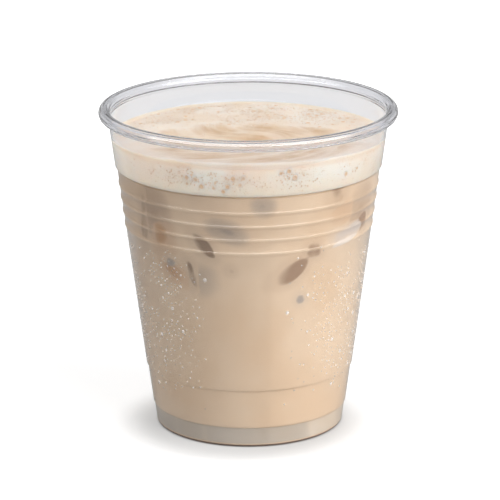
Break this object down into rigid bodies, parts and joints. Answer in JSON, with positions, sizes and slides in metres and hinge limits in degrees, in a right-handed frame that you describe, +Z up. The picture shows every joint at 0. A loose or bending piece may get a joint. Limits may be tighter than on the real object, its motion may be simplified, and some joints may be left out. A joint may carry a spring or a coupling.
{
  "type": "iced latte in a clear plastic cup",
  "caption": "Iced milk coffee with a pale froth layer in a tapered clear disposable cup with bead ribs, a stepped base and a curled edge.",
  "frame": {"origin": "centre of the circle that the cup stands on, at table height", "axes": "+Z up along the cup's axis, -Y towards the viewer's side of the reference view, +X to the right"},
  "size_m": [0.098, 0.098, 0.1076],
  "materials": {
    "clear_plastic": "clear glossy plastic",
    "milk_coffee": "opaque milky coffee, seen through the cup",
    "milk_froth": "matte foam with small bubbles",
    "ice": "wet ice sunk in milky coffee",
    "water_drops": "clear water"
  },
  "bodies": {
    "root": {"cup": "clear_plastic", "drink": "milk_coffee", "froth": "milk_froth"}
  },
  "joints": []
}
